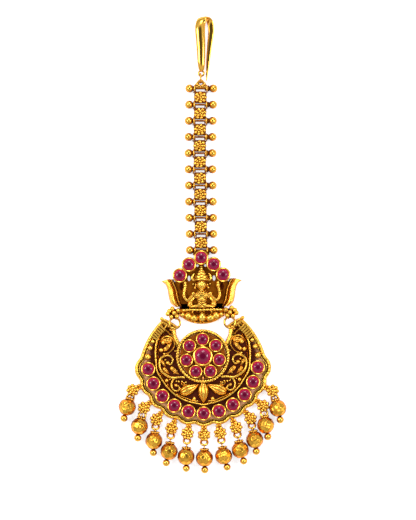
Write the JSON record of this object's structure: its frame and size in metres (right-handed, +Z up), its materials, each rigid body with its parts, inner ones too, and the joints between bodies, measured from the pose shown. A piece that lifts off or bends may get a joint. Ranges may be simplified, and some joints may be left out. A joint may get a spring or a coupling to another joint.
{
  "type": "forehead jewel",
  "caption": "Forehead jewel: a round-stoned crescent pendant with ball drops, on an arched figure motif, a beaded link chain and a bent hair hook.",
  "frame": {"origin": "middle of the footprint, on the surface that the jewel lies on", "axes": "+Z up out of the surface towards the jewel's face, +Y along the chain towards the hook, +X to the right as the face is seen"},
  "size_m": [0.0468, 0.1278, 0.0048],
  "materials": {
    "gold": "gilded, polished on the raised forms and darkened in the recesses",
    "ruby": "polished deep red cabochon"
  },
  "bodies": {
    "root": {"hook": "gold", "hook_ring": "gold", "top_bail": "gold", "chain_link_01": "gold", "chain_link_02": "gold", "chain_link_03": "gold", "chain_link_04": "gold", "chain_link_05": "gold", "chain_link_06": "gold", "chain_link_07": "gold", "chain_link_08": "gold", "chain_link_09": "gold", "chain_link_10": "gold", "top_motif": "gold", "hanger_ring_left": "gold", "hanger_ring_right": "gold", "crescent": "gold", "drop_01": "gold", "drop_02": "gold", "drop_03": "gold", "drop_04": "gold", "drop_05": "gold", "drop_06": "gold", "drop_07": "gold", "drop_08": "gold", "drop_09": "gold", "drop_10": "gold", "drop_11": "gold", "motif_stone_1": "ruby", "motif_stone_2": "ruby", "motif_stone_3": "ruby", "motif_stone_4": "ruby", "motif_stone_5": "ruby", "rosette_stone_centre": "ruby", "rosette_stone_1": "ruby", "rosette_stone_2": "ruby", "rosette_stone_3": "ruby", "rosette_stone_4": "ruby", "rosette_stone_5": "ruby", "rosette_stone_6": "ruby", "rosette_stone_7": "ruby", "border_stone_01": "ruby", "border_stone_02": "ruby", "border_stone_03": "ruby", "border_stone_04": "ruby", "border_stone_05": "ruby", "border_stone_06": "ruby", "border_stone_07": "ruby", "border_stone_08": "ruby", "border_stone_09": "ruby", "border_stone_10": "ruby", "border_stone_11": "ruby"}
  },
  "joints": []
}
